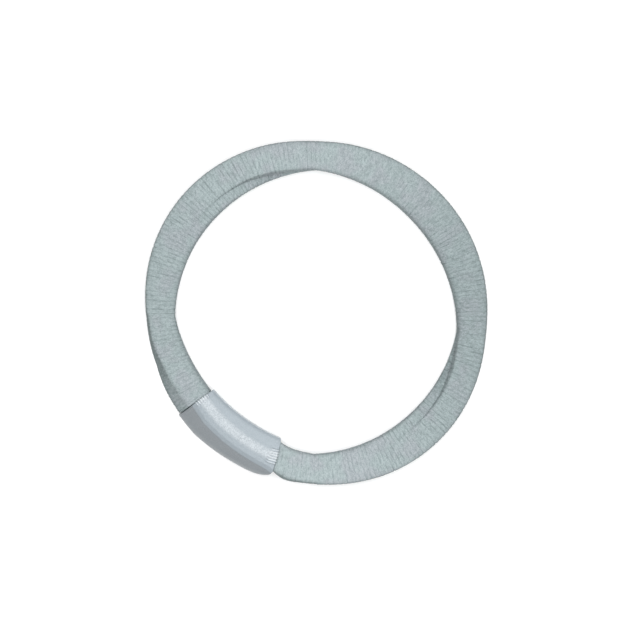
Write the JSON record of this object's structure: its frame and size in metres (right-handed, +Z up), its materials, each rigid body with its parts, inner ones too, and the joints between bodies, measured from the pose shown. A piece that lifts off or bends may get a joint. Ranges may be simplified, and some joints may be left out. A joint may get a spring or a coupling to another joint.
{
  "type": "spiral hair tie",
  "caption": "Soft fabric hair tie: a thick hollow knit band in a gently twisting loop with long inner folds, its joint held in a short satin sleeve.",
  "frame": {"origin": "centre of the whole outline seen from above, on the surface that the tie lies on", "axes": "+Z up along the loop's axis, -Y towards the satin sleeve"},
  "size_m": [0.0598, 0.058, 0.0069],
  "materials": {
    "knit": "matte crinkled knit, pale grey-green",
    "satin": "smooth satin weave with a soft sheen, lavender grey"
  },
  "bodies": {
    "root": {"band": "knit", "sleeve": "satin"}
  },
  "joints": []
}
